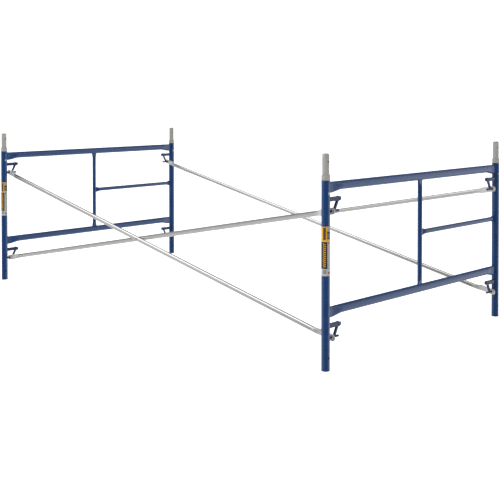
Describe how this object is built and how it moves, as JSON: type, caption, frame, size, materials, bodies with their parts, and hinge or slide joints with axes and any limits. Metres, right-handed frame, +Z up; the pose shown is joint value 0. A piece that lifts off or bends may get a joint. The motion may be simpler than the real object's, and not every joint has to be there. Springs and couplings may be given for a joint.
{
  "type": "frame scaffold section",
  "caption": "Low frame scaffold bay: blue tubular end frames with coupling pins, joined by galvanised crossed braces held on studs by drop latches.",
  "frame": {"origin": "on the ground at the middle of the bay, half way between the four leg axes", "axes": "+X runs along the braces from the left frame to the right frame, +Y from the front legs to the rear legs, +Z up"},
  "size_m": [3.0976, 1.5665, 1.0414],
  "materials": {
    "frame_paint": "satin blue enamel",
    "lock_paint": "satin dark blue enamel",
    "coupling_zinc": "galvanised, dull",
    "brace_zinc": "galvanised, bright",
    "label_film": "printed film"
  },
  "bodies": {
    "frames": {"left_front_leg": "frame_paint", "left_rear_leg": "frame_paint", "right_front_leg": "frame_paint", "right_rear_leg": "frame_paint", "left_top_rail": "frame_paint", "left_bottom_rail": "frame_paint", "left_mid_post": "frame_paint", "left_rung": "frame_paint", "right_top_rail": "frame_paint", "right_bottom_rail": "frame_paint", "right_mid_post": "frame_paint", "right_rung": "frame_paint", "left_front_pin": "coupling_zinc", "left_rear_pin": "coupling_zinc", "right_front_pin": "coupling_zinc", "right_rear_pin": "coupling_zinc", "coupling_pin_rivets": "brace_zinc", "left_front_lower_arm": "lock_paint", "left_front_lower_stud": "lock_paint", "left_front_upper_arm": "lock_paint", "left_front_upper_stud": "lock_paint", "left_rear_lower_arm": "lock_paint", "left_rear_lower_stud": "lock_paint", "left_rear_upper_arm": "lock_paint", "left_rear_upper_stud": "lock_paint", "right_front_lower_arm": "lock_paint", "right_front_lower_stud": "lock_paint", "right_front_upper_arm": "lock_paint", "right_front_upper_stud": "lock_paint", "right_rear_lower_arm": "lock_paint", "right_rear_lower_stud": "lock_paint", "right_rear_upper_arm": "lock_paint", "right_rear_upper_stud": "lock_paint", "lock_rivets": "lock_paint", "left_leg_label": "label_film", "right_leg_label": "label_film"},
    "left_front_lower_latch": {"left_front_lower_latch": "lock_paint"},
    "left_front_upper_latch": {"left_front_upper_latch": "lock_paint"},
    "left_rear_lower_latch": {"left_rear_lower_latch": "lock_paint"},
    "left_rear_upper_latch": {"left_rear_upper_latch": "lock_paint"},
    "right_front_lower_latch": {"right_front_lower_latch": "lock_paint"},
    "right_front_upper_latch": {"right_front_upper_latch": "lock_paint"},
    "right_rear_lower_latch": {"right_rear_lower_latch": "lock_paint"},
    "right_rear_upper_latch": {"right_rear_upper_latch": "lock_paint"},
    "front_brace_pair": {"front_falling_brace": "brace_zinc", "front_falling_brace_ends": "brace_zinc", "front_brace_pivot": "coupling_zinc"},
    "front_rising_brace": {"front_rising_brace": "brace_zinc", "front_rising_brace_ends": "brace_zinc"},
    "rear_brace_pair": {"rear_falling_brace": "brace_zinc", "rear_falling_brace_ends": "brace_zinc", "rear_brace_pivot": "coupling_zinc"},
    "rear_rising_brace": {"rear_rising_brace": "brace_zinc", "rear_rising_brace_ends": "brace_zinc"}
  },
  "joints": [
    {"name": "left_front_lower_latch_swing", "type": "hinge", "parent": "frames", "child": "left_front_lower_latch", "pos_m": [-1.524, -0.673, 0.2107], "axis": [-1, 0, 0], "range_deg": [0, 62]},
    {"name": "left_front_upper_latch_swing", "type": "hinge", "parent": "frames", "child": "left_front_upper_latch", "pos_m": [-1.524, -0.673, 0.8203], "axis": [-1, 0, 0], "range_deg": [0, 62]},
    {"name": "left_rear_lower_latch_swing", "type": "hinge", "parent": "frames", "child": "left_rear_lower_latch", "pos_m": [-1.524, 0.673, 0.2107], "axis": [1, 0, 0], "range_deg": [0, 62]},
    {"name": "left_rear_upper_latch_swing", "type": "hinge", "parent": "frames", "child": "left_rear_upper_latch", "pos_m": [-1.524, 0.673, 0.8203], "axis": [1, 0, 0], "range_deg": [0, 62]},
    {"name": "right_front_lower_latch_swing", "type": "hinge", "parent": "frames", "child": "right_front_lower_latch", "pos_m": [1.524, -0.673, 0.2107], "axis": [-1, 0, 0], "range_deg": [0, 62]},
    {"name": "right_front_upper_latch_swing", "type": "hinge", "parent": "frames", "child": "right_front_upper_latch", "pos_m": [1.524, -0.673, 0.8203], "axis": [-1, 0, 0], "range_deg": [0, 62]},
    {"name": "right_rear_lower_latch_swing", "type": "hinge", "parent": "frames", "child": "right_rear_lower_latch", "pos_m": [1.524, 0.673, 0.2107], "axis": [1, 0, 0], "range_deg": [0, 62]},
    {"name": "right_rear_upper_latch_swing", "type": "hinge", "parent": "frames", "child": "right_rear_upper_latch", "pos_m": [1.524, 0.673, 0.8203], "axis": [1, 0, 0], "range_deg": [0, 62]},
    {"name": "front_brace_pair_slide", "type": "slide", "parent": "frames", "child": "front_brace_pair", "axis": [0, 1, 0], "range_m": [-0.0145, 0.016]},
    {"name": "front_brace_scissor", "type": "hinge", "parent": "front_brace_pair", "child": "front_rising_brace", "pos_m": [0, -0.716, 0.4572], "axis": [0, 1, 0], "range_deg": [-0.03, 0.03]},
    {"name": "rear_brace_pair_slide", "type": "slide", "parent": "frames", "child": "rear_brace_pair", "axis": [0, -1, 0], "range_m": [-0.0145, 0.016]},
    {"name": "rear_brace_scissor", "type": "hinge", "parent": "rear_brace_pair", "child": "rear_rising_brace", "pos_m": [0, 0.716, 0.4572], "axis": [0, -1, 0], "range_deg": [-0.03, 0.03]}
  ]
}
